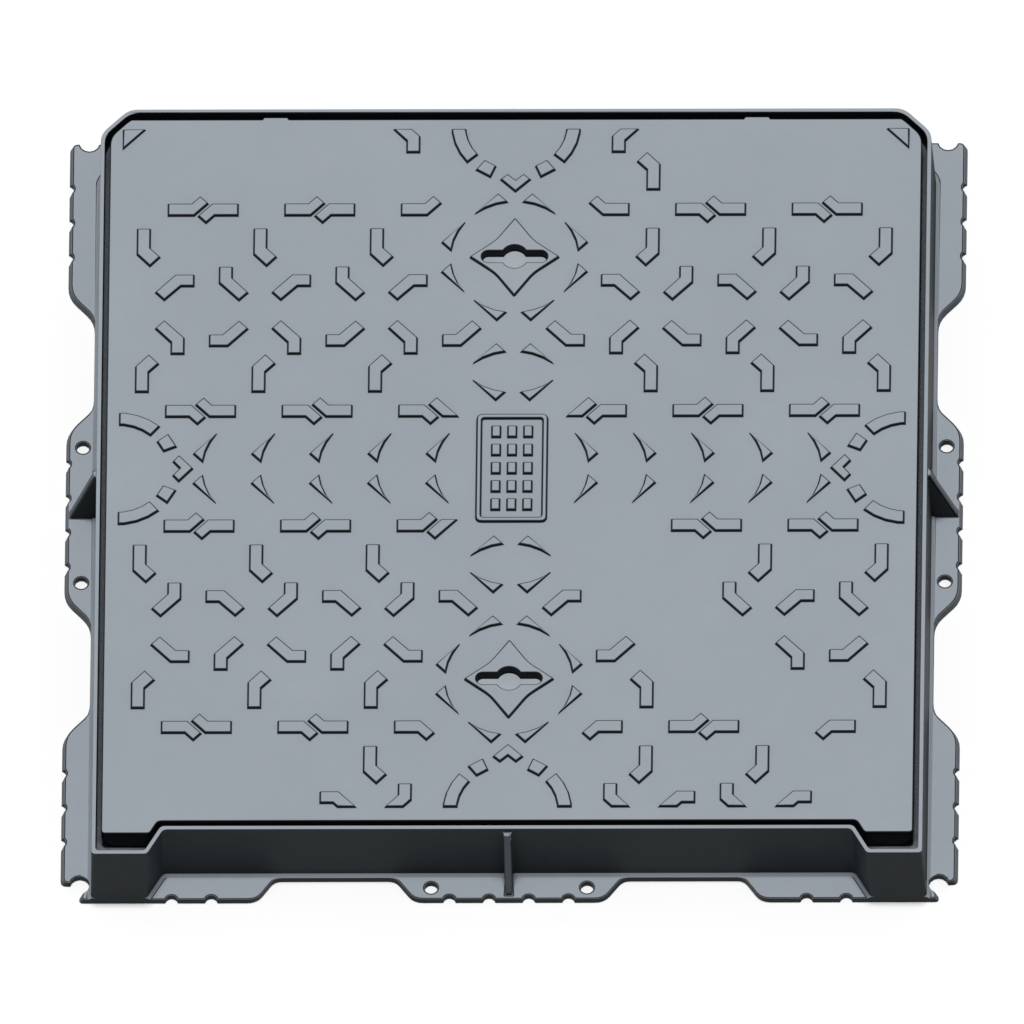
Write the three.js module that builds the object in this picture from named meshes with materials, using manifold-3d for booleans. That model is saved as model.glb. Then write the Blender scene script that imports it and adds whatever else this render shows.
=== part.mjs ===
// Square ductile-iron access cover in its frame, millimetres, +Z up.
// The origin is on the ground plane under the middle of the frame; +Y points to the rear edge.
// The frame stands on its base flange, the loose cover rests on four elastomer strips, and each
// keyhole is closed from below by a sprung shutter in a screwed-on pot.
import * as THREE from 'three';
import { mergeVertices } from 'three/addons/utils/BufferGeometryUtils.js';
import Module from 'manifold-3d';

const wasm = await Module();
wasm.setup();

// ---- Driving dimensions ----
const HEIGHT = 100;            // frame top and tread plate level
const RIM = 415.5;             // half width of the frame's top rim
const RIM_LAND = 4;            // width of the rim's flat top
const FRONT_STEP = 28;         // how far the two front corner pockets stand forward
const POCKET_X = 344;          // where the front wall starts to turn out to a pocket
const POCKET_RUN = 16;         // sideways run of that turn
const REAR_CHAMFER = 28;
const WALL = 8;
const WALL_FLARE = 3;          // the side walls lean out by this much at their foot
const FLANGE_T = 8;
const FLANGE_X = 449;          // half width over the side anchor tabs, at the ground
const FLANGE_DRAFT = 3;        // the side tabs' edges lean in by this much at their top
const FLANGE_Y = 443.5;        // half depth over the front and rear anchor tabs
const FOOT_FILLET = 3;
const SEAT_Z = 70.7;           // metal seat under the elastomer strips
const LEDGE_T = 12;
const CLEAR_OPENING = 375;     // half of the clear opening
const COVER_GAP = 9.5;         // from the rim's outside to the cover's edge
const COVER_FOOT_Z = 74;       // underside of the cover's skirt
const COVER_TAB_Y = 420;       // front edge of the cover's two corner tabs
const PLATE_T = 12;
const LUG_H = 3;
const RIB_FOOT_Z = 42;
const KEY_Y = 243.5;           // keyholes, in front of and behind the middle
const FIT = 0.3;               // gap kept between pieces that touch
const NOTCH_PITCH = 39.7;      // along the flange edges

const PLATE_UNDERSIDE = HEIGHT - PLATE_T;

// ---- Materials ----
const finish = (color, roughness, metalness) =>
  new THREE.MeshStandardMaterial({ color, roughness, metalness });
const IRON = finish(0x9aa2a9, 0.55, 0.35);
const RUBBER = finish(0x1d1e20, 0.85, 0);
const PLASTIC = finish(0x33373b, 0.6, 0);
const SHUTTER_PLASTIC = finish(0x8d959c, 0.55, 0);
const STEEL = finish(0xb4b8bc, 0.35, 0.9);

// ---- Solids ----
function toSolid(source) {
  const bare = source.clone();
  bare.deleteAttribute('normal');
  bare.deleteAttribute('uv');
  const merged = mergeVertices(bare, 1e-4);
  return new wasm.Manifold(new wasm.Mesh({
    numProp: 3,
    vertProperties: new Float32Array(merged.attributes.position.array),
    triVerts: new Uint32Array(merged.index.array),
  }));
}

function toMesh(name, solid, material) {
  const { vertProperties, triVerts } = solid.getMesh();
  const geometry = new THREE.BufferGeometry();
  geometry.setAttribute('position', new THREE.BufferAttribute(new Float32Array(vertProperties), 3));
  geometry.setIndex(new THREE.BufferAttribute(new Uint32Array(triVerts), 1));
  geometry.computeVertexNormals();
  const mesh = new THREE.Mesh(geometry, material);
  mesh.name = name;
  return mesh;
}

const joined = (solids) => solids.reduce((whole, solid) => whole.add(solid));

function prismGeometry(shape, z0, z1, curveSegments = 4) {
  const geometry = new THREE.ExtrudeGeometry(shape, { depth: z1 - z0, bevelEnabled: false, curveSegments });
  return geometry.translate(0, 0, z0);
}

const prism = (shape, z0, z1, curveSegments) => toSolid(prismGeometry(shape, z0, z1, curveSegments));

function block(x0, x1, y0, y1, z0, z1) {
  const box = new THREE.BoxGeometry(x1 - x0, y1 - y0, z1 - z0);
  return toSolid(box.translate((x0 + x1) / 2, (y0 + y1) / 2, (z0 + z1) / 2));
}

function rod(x, y, z0, z1, radius, sides = 16) {
  const cylinder = new THREE.CylinderGeometry(radius, radius, z1 - z0, sides);
  return toSolid(cylinder.rotateX(Math.PI / 2).translate(x, y, (z0 + z1) / 2));
}

// A closed outline through corners [x, y, radius]; the radius rounds that corner off.
function outline(corners) {
  const shape = new THREE.Shape();
  corners.forEach(([x, y, radius = 0], i) => {
    const here = new THREE.Vector2(x, y);
    const before = new THREE.Vector2(...corners.at(i - 1).slice(0, 2));
    const after = new THREE.Vector2(...corners[(i + 1) % corners.length].slice(0, 2));
    const start = here.clone().add(before.sub(here).setLength(radius));
    const end = here.clone().add(after.sub(here).setLength(radius));
    if (i === 0) shape.moveTo(start.x, start.y);
    else shape.lineTo(start.x, start.y);
    if (radius > 0) shape.quadraticCurveTo(x, y, end.x, end.y);
  });
  shape.closePath();
  return shape;
}

// Corners on the +X half, listed from front to rear, become a whole outline symmetric in X.
function mirrored(half) {
  const left = half.map(([x, y, radius]) => [-x, y, radius]).reverse();
  return outline([...half, ...left]);
}

// ---- Frame outlines ----
// The frame's wall seen from above, moved inwards by inset; frontY lets the pockets be cut short.
function rimOutline(inset, frontY = RIM + FRONT_STEP - inset) {
  const side = RIM - inset;
  const turn = inset * Math.tan(Math.atan2(FRONT_STEP, POCKET_RUN) / 2);   // keeps the corner mitred
  const slope = POCKET_RUN / FRONT_STEP;
  const pocketDepth = frontY - side;
  const chamfer = REAR_CHAMFER - inset * (2 - Math.SQRT2);
  return mirrored([
    [POCKET_X + turn, -side, 4],
    [POCKET_X + turn + pocketDepth * slope, -frontY, 3],
    [side, -frontY, 4],
    [side, side - chamfer, 9],
    [side - chamfer, side, 9],
  ]);
}

// One long edge of the base flange, in front or behind, from its middle to its corner.
function flangeEdge(y, foot) {
  return [[95.5, y, 9], [114, foot, 7], [236, foot, 7], [253.5, y, 9]];
}

function flangeOutline() {
  const foot = RIM + FOOT_FILLET + 0.5;
  const sideFoot = foot + WALL_FLARE;
  const side = [
    [FLANGE_X, -254.5, 12], [sideFoot, -226, 12], [sideFoot, -125, 12], [FLANGE_X, -96.5, 12],
    [FLANGE_X, 96.5, 12], [sideFoot, 125, 12], [sideFoot, 226, 12], [FLANGE_X, 254.5, 12],
  ];
  // the front strip ends in a hook around the corner notch, and the rear one stops short of it
  const frontCorner = [
    [430, -FLANGE_Y, 3.5], [430, -438, 1.5], [424, -431], [438, -424], [FLANGE_X, -424, 6],
  ];
  const rearCorner = [[FLANGE_X, 428, 5], [412, 428, 3], [405, 435, 3], [405, FLANGE_Y, 4]];
  return mirrored([
    ...flangeEdge(-FLANGE_Y, -foot), ...frontCorner, ...side, ...rearCorner,
    ...flangeEdge(FLANGE_Y, foot).reverse(),
  ]);
}

// ---- Frame casting ----
const NOTCH_R = 6.5;
const NOTCH_OUTSET = 1.5;      // the notch's centre lies this far outside the flange's edge
const SIDE_NOTCH_STEPS = [0.5, 1.5, 7.5, 8.5, 9.5];      // in pitches from the middle of the edge
const END_NOTCH_STEPS = [0.5, 1.5, 7.5, 8.5];
const CORNER_NOTCH_X = 429.5;
const CORNER_NOTCH_FRONT_Y = -426.5;
const CORNER_NOTCH_REAR_Y = 430;
const CORNER_NOTCH_R = 10;
const ANCHOR_R = 6.8;
const ANCHOR_ALONG = 78;       // anchor holes, along the edge from its middle
const ANCHOR_X = 432;          // those of the side tabs
const ANCHOR_Y = 430.5;        // those of the front and rear tabs

function flangeCuts() {
  const cuts = [];
  const bore = (x, y, radius) => cuts.push(rod(x, y, -1, FLANGE_T + FOOT_FILLET + 1, radius, 14));
  for (const sx of [-1, 1]) {
    for (const sy of [-1, 1]) {
      for (const step of SIDE_NOTCH_STEPS) {
        bore(sx * (FLANGE_X + NOTCH_OUTSET), sy * step * NOTCH_PITCH, NOTCH_R);
      }
      for (const step of END_NOTCH_STEPS) {
        bore(sx * step * NOTCH_PITCH, sy * (FLANGE_Y + NOTCH_OUTSET), NOTCH_R);
      }
      bore(sx * ANCHOR_X, sy * ANCHOR_ALONG, ANCHOR_R);
      bore(sx * ANCHOR_ALONG, sy * ANCHOR_Y, ANCHOR_R);
    }
    bore(sx * CORNER_NOTCH_X, CORNER_NOTCH_FRONT_Y, CORNER_NOTCH_R);
    bore(sx * CORNER_NOTCH_X, CORNER_NOTCH_REAR_Y, CORNER_NOTCH_R);
  }
  return joined(cuts);
}

// The base flange; its side tabs lean in towards their top.
function flangePlate() {
  const plate = prismGeometry(flangeOutline(), 0, FLANGE_T);
  const position = plate.attributes.position;
  for (let i = 0; i < position.count; i += 1) {
    if (position.getZ(i) > 1) position.setX(i, position.getX(i) * (1 - FLANGE_DRAFT / FLANGE_X));
  }
  return toSolid(plate);
}

// A standing gusset against the outside of the wall, turned about Z from the +X side.
const GUSSET_T = 8;
const GUSSET_TOP_Z = 92;
const GUSSET_TOE = 3;          // height of its outer end above the flange, and depth of its top
const GUSSET_SIDE_REACH = 29;
const GUSSET_END_REACH = 24;   // in front and behind

function gusset(angle, reach) {
  const inside = RIM - WALL / 2;
  const toe = RIM + reach;
  const profile = outline([
    [inside, 0], [toe, 0], [toe, FLANGE_T + GUSSET_TOE, 2],
    [RIM + GUSSET_TOE, GUSSET_TOP_Z, 2], [inside, GUSSET_TOP_Z],
  ]);
  const plate = new THREE.ExtrudeGeometry(profile, {
    depth: GUSSET_T, bevelEnabled: false, curveSegments: 3,
  });
  return toSolid(plate.translate(0, 0, -GUSSET_T / 2).rotateX(Math.PI / 2).rotateZ(angle));
}

// Webs stiffen the chamber under the seat; they stand across it at these places along each side.
const WEB_AT = [-260, 0, 260];
const WEB_T = 8;

function frameCasting() {
  const wall = prismGeometry(rimOutline(0), 0, HEIGHT);
  const position = wall.attributes.position;
  for (let i = 0; i < position.count; i += 1) {
    if (position.getZ(i) < 1) position.setX(i, position.getX(i) * (1 + WALL_FLARE / RIM));
  }
  const fillet = new THREE.ExtrudeGeometry(rimOutline(0), {
    depth: 1, curveSegments: 4, bevelSegments: 1, bevelThickness: FOOT_FILLET, bevelSize: FOOT_FILLET,
  }).scale(1 + WALL_FLARE / RIM, 1, 1).translate(0, 0, FLANGE_T - 1);
  const above = block(-FLANGE_X, FLANGE_X, -FLANGE_Y, FLANGE_Y, FLANGE_T - 0.5, HEIGHT);
  const footFillet = toSolid(fillet).intersect(above);
  const gussets = [
    gusset(0, GUSSET_SIDE_REACH), gusset(Math.PI, GUSSET_SIDE_REACH),
    gusset(Math.PI / 2, GUSSET_END_REACH), gusset(-Math.PI / 2, GUSSET_END_REACH),
  ];
  let body = joined([toSolid(wall), footFillet, flangePlate(), ...gussets]);
  const opening = CLEAR_OPENING;
  body = body.subtract(prism(rimOutline(RIM_LAND), SEAT_Z, HEIGHT + 1));
  body = body.subtract(block(-opening, opening, -opening, opening, -1, SEAT_Z + 1));
  const chamber = prism(rimOutline(WALL), -1, SEAT_Z - LEDGE_T);
  const half = WEB_T / 2;
  const webs = WEB_AT.flatMap((at) => [
    block(at - half, at + half, -RIM, RIM, 0, SEAT_Z), block(-RIM, RIM, at - half, at + half, 0, SEAT_Z),
  ]);
  body = body.subtract(chamber.subtract(joined(webs)));
  return body.subtract(flangeCuts());
}

// ---- Elastomer seat strips ----
const STRIP_INNER = 378;
const STRIP_OUTER = 396;

function seatStrip(name, turn) {
  const shape = outline([
    [-STRIP_OUTER + FIT, -STRIP_OUTER], [STRIP_OUTER - FIT, -STRIP_OUTER],
    [STRIP_INNER - FIT, -STRIP_INNER], [-STRIP_INNER + FIT, -STRIP_INNER],
  ]);
  const strip = prismGeometry(shape, SEAT_Z + FIT, COVER_FOOT_Z - FIT);
  return toMesh(name, toSolid(strip.rotateZ(turn)), RUBBER);
}

// ---- Tread pattern ----
// Bent bars. Each is listed from one corner; centred() moves it onto its own middle.
const Z_BAR = [[0, 0], [26, 0], [40, 14], [32, 22], [23.5, 13.5], [0, 13.5]]
  .map(([x, y]) => [x - 35, y - 6.75]);
const Z_BAR_CUT = [[-25, -6.75], [-9, -6.75], [5, 7.25], [-3, 15.25]];
const ELBOW = centred([[0, 0], [13, 0], [13, -22.5], [23, -32.5], [13, -43], [0, -29.5]]);
const HOCKEY = centred([[0, 0], [13, 0], [13, -13], [29, -29.5], [20, -38.5], [0, -18.5]]);
const HOCKEY_FLAT = HOCKEY.map(([x, y]) => [y, -x]);
const COLUMN = 116.6;          // sideways pitch of the pattern
const BORDER_X = 393;          // the pattern stops here, left and right
const BORDER = 391;            // and here, front and rear

function centred(points) {
  const area = THREE.ShapeUtils.area(points.map(([x, y]) => new THREE.Vector2(x, y)));
  let cx = 0;
  let cy = 0;
  points.forEach(([x, y], i) => {
    const [nextX, nextY] = points[(i + 1) % points.length];
    const cross = x * nextY - nextX * y;
    cx += (x + nextX) * cross / (6 * area);
    cy += (y + nextY) * cross / (6 * area);
  });
  return points.map(([x, y]) => [x - cx, y - cy]);
}

// Places a bar at x, y in the +X +Y quarter, flipped in itself, then mirrored to a quarter.
function bar(points, x, y, flipX, flipY, [sx, sy]) {
  return points.map(([px, py]) => [sx * (x + flipX * px), sy * (y + flipY * py)]);
}

function barsOfQuarter(quarter) {
  const [sx, sy] = quarter;
  const blankCorner = sx > 0 && sy < 0;            // this quarter leaves room for a marking
  const bars = [];
  const put = (...place) => bars.push(bar(...place, quarter));
  const turned = (points) => points.map(([x, y]) => [-x, -y]);
  for (const column of [0, 1, 2]) {
    const x = column * COLUMN;
    const blank = (...columns) => blankCorner && columns.includes(column);
    // paired bars beside the keyhole: the one nearest the middle has no partner
    put(Z_BAR, 78.9 + x, 298.5, -1, 1);
    if (column > 0 && !blank(2)) put(turned(Z_BAR), 78.9 + x, 298.5, -1, 1);
    // paired bars beside the middle band
    if (!blank(0)) {
      put(turned(Z_BAR), 78.9 + x, 66.2, 1, 1);
      put(column > 0 ? Z_BAR : Z_BAR_CUT, 78.9 + x, 66.2, 1, 1);
    }
    if (!blank(1)) put(ELBOW, 135.8 + x, 255.6, -1, 1);
    if (!blank(0)) put(ELBOW, 135.8 + x, 109.2, -1, -1);
    if (!blank(1)) put(HOCKEY_FLAT, 105.6 + x, 211.5, -1, 1);
    if (column < 2 && !blank(0)) put(HOCKEY, 166.7 + x, 213.9, -1, 1);
    if (!blank(0)) put(HOCKEY, 108 + x, 150.6, 1, -1);
    if (!blank(1)) put(HOCKEY_FLAT, 52.5 + x, 152.9, 1, -1);
    // the rows that the border cuts, front and rear
    const elbows = { '-1,1': 0, '1,1': 1, '-1,-1': 1, '1,-1': 2 }[`${sx},${sy}`];
    const hockeys = sy > 0 || sx < 0 ? 1 : 2;
    const flatHockeys = sy > 0 ? 0 : hockeys;
    if (column < elbows) put(ELBOW, 135.8 + x, 341.9, -1, -1);
    if (column < hockeys) put(HOCKEY, 108 + x, 382.9, 1, -1);
    if (column < flatHockeys) put(HOCKEY_FLAT, 169 + x, 385.2, 1, -1);
  }
  return bars;
}

// A three-sided fin whose long side is hollowed by a circle of 64 mm about its ring's middle.
const FIN_RING = 64;
const FIN_FROM = 6.8 * Math.PI / 180;
const FIN_TO = 38.9 * Math.PI / 180;
const FIN = [[73, 17]];
for (const step of [1, 2 / 3, 1 / 3, 0]) {
  const angle = FIN_FROM + (FIN_TO - FIN_FROM) * step;
  FIN.push([FIN_RING * Math.cos(angle), FIN_RING * Math.sin(angle)]);
}
const FIN_TURNED = FIN.map(([x, y]) => [y, x]);
const moved = (points, dx, dy) => points.map(([x, y]) => [x + dx, y + dy]);

function finsOfQuarter(quarter) {
  const fins = [];
  for (const column of [0, 1, 2, 3, 4]) fins.push(moved(FIN, 12.9 + 58.2 * column, 0));
  fins.push(moved(FIN, 0, KEY_Y), moved(FIN_TURNED, 0, KEY_Y));
  // each fin below a ring's middle is the one above turned over
  const below = (points, y) => points.map(([px, py]) => [px, y - py]);
  fins.push(below(FIN, KEY_Y), below(FIN_TURNED, KEY_Y));
  fins.push(moved(FIN_TURNED, 0, 70.7), below(FIN_TURNED, 151.2));
  return fins.map((fin) => bar(fin, 0, 0, 1, 1, quarter));
}

// The half ring in the middle of each side: two arcs, two blocks and a chevron.
const SIDE_RING_AT = 395;
const SIDE_RING_INNER = 50.6;
const SIDE_RING_OUTER = 64.4;

function ringPiece(fromDegrees, toDegrees, steps) {
  const points = [];
  const arc = (radius, start, end) => {
    for (let i = 0; i <= steps; i += 1) {
      const angle = (start + (end - start) * i / steps) * Math.PI / 180;
      points.push([radius * Math.cos(angle), radius * Math.sin(angle)]);
    }
  };
  arc(SIDE_RING_OUTER, fromDegrees, toDegrees);
  arc(SIDE_RING_INNER, toDegrees, fromDegrees);
  return points;
}

function sideRing(turn) {
  const chevron = [[-15, -62], [-8, -56], [0, -63], [8, -56], [15, -62], [0, -76]];
  const pieces = [
    ringPiece(-41, 4, 4), ringPiece(176, 221, 4), ringPiece(-67, -52, 1), ringPiece(232, 247, 1), chevron,
  ];
  const cos = Math.cos(turn);
  const sin = Math.sin(turn);
  return pieces.map((points) => points.map(([x, y]) => [
    cos * x - sin * (y + SIDE_RING_AT), sin * x + cos * (y + SIDE_RING_AT),
  ]));
}

// A plain panel in the middle, left for the owner's own marking.
const PANEL_X = 35.5;
const PANEL_Y = 62;
const PANEL_BORDER = 5;
const STUD_COLUMNS = [-16, 0, 16];
const STUD_ROWS = [-42, -21, 0, 21, 42];
const STUD_X = 4.5;            // half sizes of a stud
const STUD_Y = 6.5;

function markingPanel() {
  const rounded = (x, y, r) => [[-x, -y, r], [x, -y, r], [x, y, r], [-x, y, r]];
  const border = outline(rounded(PANEL_X, PANEL_Y, 6));
  border.holes.push(outline(rounded(PANEL_X - PANEL_BORDER, PANEL_Y - PANEL_BORDER, 3).reverse()));
  const studs = STUD_COLUMNS.flatMap((x) => STUD_ROWS.map(
    (y) => block(x - STUD_X, x + STUD_X, y - STUD_Y, y + STUD_Y, HEIGHT - 1, HEIGHT + LUG_H),
  ));
  return [prism(border, HEIGHT - 1, HEIGHT + LUG_H), ...studs];
}

function treadLugs() {
  const quarters = [[1, 1], [-1, 1], [-1, -1], [1, -1]];
  const bars = quarters.flatMap((quarter) => [...barsOfQuarter(quarter), ...finsOfQuarter(quarter)]);
  const rings = [0, 0.5, 1, 1.5].flatMap((turn) => sideRing(turn * Math.PI));
  const mark = 22;
  const cornerMarks = [-1, 1].map((sx) => [
    [sx * BORDER_X, BORDER], [sx * (BORDER_X - mark), BORDER], [sx * BORDER_X, BORDER - mark],
  ]);
  const raised = [...bars, ...rings, ...cornerMarks].map((points) => prism(
    outline(points), HEIGHT - 1, HEIGHT + LUG_H,
  ));
  const stars = [-KEY_Y, KEY_Y].map((y) => prism(keyStar(y), HEIGHT - 1, HEIGHT + LUG_H));
  const field = block(-BORDER_X, BORDER_X, -BORDER, BORDER, HEIGHT - 2, HEIGHT + LUG_H + 1);
  return joined([...raised, ...stars, ...markingPanel()]).intersect(field);
}

// The raised four-pointed field around a keyhole.
const STAR_R = 45;
const STAR_WAIST_R = 27;

function keyStar(y) {
  const corners = [];
  for (const quarterTurn of [0, 1, 2, 3]) {
    const angle = quarterTurn * Math.PI / 2;
    const hollow = angle + Math.PI / 4;
    corners.push([STAR_R * Math.cos(angle), y + STAR_R * Math.sin(angle), 1.5]);
    corners.push([STAR_WAIST_R * Math.cos(hollow), y + STAR_WAIST_R * Math.sin(hollow), 7]);
  }
  return outline(corners);
}

// ---- Keyholes ----
const SLOT_HALF = 33;
const SLOT_R = 6.7;
const KEYHOLE_R = 13.3;

// The slot with its round middle, made smaller all round by clearance.
function keyhole(y, z0, z1, clearance = 0) {
  const r = SLOT_R - clearance;
  const straight = SLOT_HALF - SLOT_R;
  const slot = new THREE.Shape();
  slot.absarc(straight, y, r, -Math.PI / 2, Math.PI / 2);
  slot.absarc(-straight, y, r, Math.PI / 2, Math.PI * 1.5);
  return prism(slot, z0, z1, 6).add(rod(0, y, z0, z1, KEYHOLE_R - clearance, 24));
}

const POT_R = 38;
const POT_WALL = 3;
const POT_FLANGE_R = 55;
const POT_FLOOR_Z = 44;
const PAD_FOOT_Z = 82;
const SEAL_T = 2;
const POT_TOP_Z = PAD_FOOT_Z - SEAL_T;
const POT_FLANGE_T = 4;
const SCREW_RING = 48;
const SCREW_R = 3;
const SCREW_HEAD_R = 5.5;
const SCREW_HEAD_H = 4;
const SCREW_TIP_Z = 92;
const SHUTTER_T = 4;
const SHUTTER_PLAY = 1.5;      // between the shutter's disc and the pot, and the pilot and its spring
const SHUTTER_PILOT_H = 3;
const BOSS_PLAY = 0.6;         // between the shutter's boss and the keyhole
const SHUTTER_TOP_Z = 91.5;
const SPRING_R = 20;
const WIRE_R = 1.5;
const SPRING_TURNS = 4.5;
const SHUTTER_FOOT_Z = PLATE_UNDERSIDE - FIT - SHUTTER_T;

function turnedProfile(points, x, y, sides = 24) {
  const profile = points.map(([r, z]) => new THREE.Vector2(r, z));
  return toSolid(new THREE.LatheGeometry(profile, sides).rotateX(Math.PI / 2).translate(x, y, 0));
}

const screwPlaces = (y) => [0.25, 0.75, 1.25, 1.75].map((turn) => [
  SCREW_RING * Math.cos(turn * Math.PI), y + SCREW_RING * Math.sin(turn * Math.PI),
]);

const screwHoles = (y, z0, z1) => joined(
  screwPlaces(y).map(([x, sy]) => rod(x, sy, z0, z1, SCREW_R + FIT, 10)),
);

function keyPot(y) {
  const outer = POT_R + POT_WALL;
  const flangeFoot = POT_TOP_Z - POT_FLANGE_T;
  const floor = POT_FLOOR_Z + POT_WALL;
  const cup = turnedProfile([
    [0, POT_FLOOR_Z], [outer, POT_FLOOR_Z], [outer, flangeFoot], [POT_FLANGE_R, flangeFoot],
    [POT_FLANGE_R, POT_TOP_Z], [POT_R, POT_TOP_Z], [POT_R, floor], [0, floor],
  ], 0, y);
  return cup.subtract(screwHoles(y, flangeFoot - 1, POT_TOP_Z + 1));
}

function potSeal(y) {
  const z0 = POT_TOP_Z + FIT;
  const z1 = PAD_FOOT_Z - FIT;
  const ring = rod(0, y, z0, z1, POT_FLANGE_R - 1, 24).subtract(rod(0, y, z0 - 1, z1 + 1, POT_R + 1, 24));
  return ring.subtract(screwHoles(y, z0 - 1, z1 + 1));
}

function potScrew(x, y) {
  const underHead = POT_TOP_Z - POT_FLANGE_T - FIT;
  const head = underHead - SCREW_HEAD_H;
  return turnedProfile([
    [0, head], [SCREW_HEAD_R, head], [SCREW_HEAD_R, underHead],
    [SCREW_R, underHead], [SCREW_R, SCREW_TIP_Z], [0, SCREW_TIP_Z],
  ], x, y, 10);
}

function keyShutter(y) {
  const pilotR = SPRING_R - WIRE_R - SHUTTER_PLAY;
  const disc = rod(0, y, SHUTTER_FOOT_Z, PLATE_UNDERSIDE - FIT, POT_R - SHUTTER_PLAY, 24);
  const pilot = rod(0, y, SHUTTER_FOOT_Z - SHUTTER_PILOT_H, SHUTTER_FOOT_Z + 1, pilotR, 16);
  return joined([disc, pilot, keyhole(y, PLATE_UNDERSIDE - 1, SHUTTER_TOP_Z, BOSS_PLAY)]);
}

class Coil extends THREE.Curve {
  constructor(y, z0, z1) {
    super();
    Object.assign(this, { y, z0, z1 });
  }

  getPoint(t, target = new THREE.Vector3()) {
    const angle = t * SPRING_TURNS * 2 * Math.PI;
    return target.set(
      SPRING_R * Math.cos(angle), this.y + SPRING_R * Math.sin(angle), this.z0 + (this.z1 - this.z0) * t,
    );
  }
}

function shutterSpring(y) {
  const wire = new THREE.Shape();
  wire.absarc(0, 0, WIRE_R, 0, 2 * Math.PI);
  const room = FIT + WIRE_R;
  const path = new Coil(y, POT_FLOOR_Z + POT_WALL + room, SHUTTER_FOOT_Z - room);
  return toSolid(new THREE.ExtrudeGeometry(wire, {
    extrudePath: path, steps: Math.round(SPRING_TURNS * 12), curveSegments: 3, bevelEnabled: false,
  }));
}

// ---- Cover casting ----
const SKIRT_INNER = 384;       // the skirt bears on the elastomer strips from here outwards
const REAR_EDGE_Y = 403.5;
const NOSE_Y = 406;            // two noses on the rear edge keep it square in the frame
const NOSE_AT = 240.75;
const NOSE_HALF = 14.25;       // half its foot, along the edge
const PRY_DEPTH = 11;          // how far the pry relief reaches in under a corner
const RIB_RING = 366;
const RIB_T = 8;
const CROSS_RIB_AT = 130;
const CROSS_RIB_FOOT_Z = 48;
const PAD_R = 56;

function underRibs() {
  const top = PLATE_UNDERSIDE + 1;
  const inner = RIB_RING - RIB_T;
  const ring = block(-RIB_RING, RIB_RING, -RIB_RING, RIB_RING, RIB_FOOT_Z, top)
    .subtract(block(-inner, inner, -inner, inner, RIB_FOOT_Z - 1, top + 1));
  const reach = RIB_RING - 1;
  const cross = [-CROSS_RIB_AT, CROSS_RIB_AT].flatMap((at) => [
    block(at - RIB_T / 2, at + RIB_T / 2, -reach, reach, CROSS_RIB_FOOT_Z, top),
    block(-reach, reach, at - RIB_T / 2, at + RIB_T / 2, CROSS_RIB_FOOT_Z, top),
  ]);
  return [ring, ...cross];
}

// The wedge missing from under each front corner, where a pry bar goes in.
function pryRelief(sx) {
  const side = RIM - COVER_GAP;
  const shape = outline([
    [sx * (side + 1), COVER_FOOT_Z - 1], [sx * (side - PRY_DEPTH), COVER_FOOT_Z - 1],
    [sx * (side - PRY_DEPTH), COVER_FOOT_Z], [sx * (side + 1), PLATE_UNDERSIDE - 1],
  ]);
  const wedge = new THREE.ExtrudeGeometry(shape, { depth: COVER_TAB_Y, bevelEnabled: false });
  const onTab = block(-RIM, RIM, -COVER_TAB_Y - 1, -STRIP_OUTER, COVER_FOOT_Z - 2, HEIGHT);
  return toSolid(wedge.rotateX(Math.PI / 2).translate(0, -1, 0)).intersect(onTab);
}

function coverCasting() {
  const shell = prism(rimOutline(COVER_GAP, COVER_TAB_Y), COVER_FOOT_Z, HEIGHT)
    .subtract(block(-RIM, RIM, REAR_EDGE_Y, RIM, COVER_FOOT_Z - 1, HEIGHT + 1))
    .subtract(block(
      -SKIRT_INNER, SKIRT_INNER, -SKIRT_INNER, SKIRT_INNER, COVER_FOOT_Z - 1, PLATE_UNDERSIDE,
    ));
  const noseSlant = NOSE_Y - REAR_EDGE_Y;
  const noses = [-NOSE_AT, NOSE_AT].map((x) => prism(outline([
    [x - NOSE_HALF, REAR_EDGE_Y - 1], [x + NOSE_HALF, REAR_EDGE_Y - 1],
    [x + NOSE_HALF - noseSlant, NOSE_Y], [x - NOSE_HALF + noseSlant, NOSE_Y],
  ]), PLATE_UNDERSIDE, HEIGHT));
  const pads = [-KEY_Y, KEY_Y].map((y) => rod(0, y, PAD_FOOT_Z, PLATE_UNDERSIDE + 1, PAD_R, 24));
  const body = joined([shell, ...noses, ...underRibs(), ...pads, treadLugs()]);
  const cuts = [-KEY_Y, KEY_Y].flatMap((y) => [
    rod(0, y, PAD_FOOT_Z - 1, PLATE_UNDERSIDE, POT_R, 24),
    keyhole(y, PAD_FOOT_Z, HEIGHT + LUG_H + 1),
    screwHoles(y, PAD_FOOT_Z - 1, SCREW_TIP_Z + FIT),
  ]);
  return body.subtract(joined([...cuts, pryRelief(-1), pryRelief(1)]));
}

// ---- Assembly ----
const accessCover = new THREE.Group();
const add = (name, solid, material) => accessCover.add(toMesh(name, solid, material));

add('frame_casting', frameCasting(), IRON);
['front', 'right', 'rear', 'left'].forEach((side, quarterTurn) => {
  accessCover.add(seatStrip(`seat_strip_${side}`, quarterTurn * Math.PI / 2));
});
add('cover_casting', coverCasting(), IRON);
for (const [side, y] of [['front', -KEY_Y], ['rear', KEY_Y]]) {
  add(`key_pot_${side}`, keyPot(y), PLASTIC);
  add(`key_pot_seal_${side}`, potSeal(y), RUBBER);
  add(`key_shutter_${side}`, keyShutter(y), SHUTTER_PLASTIC);
  add(`shutter_spring_${side}`, shutterSpring(y), STEEL);
  screwPlaces(y).forEach(([x, sy], i) => add(`pot_screw_${side}_${i + 1}`, potScrew(x, sy), STEEL));
}

export default accessCover;
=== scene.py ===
"""Looks of the square access cover in its frame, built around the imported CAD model."""

import math

import bmesh
import bpy
from mathutils import Matrix, Vector
from mathutils.geometry import delaunay_2d_cdt


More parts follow.
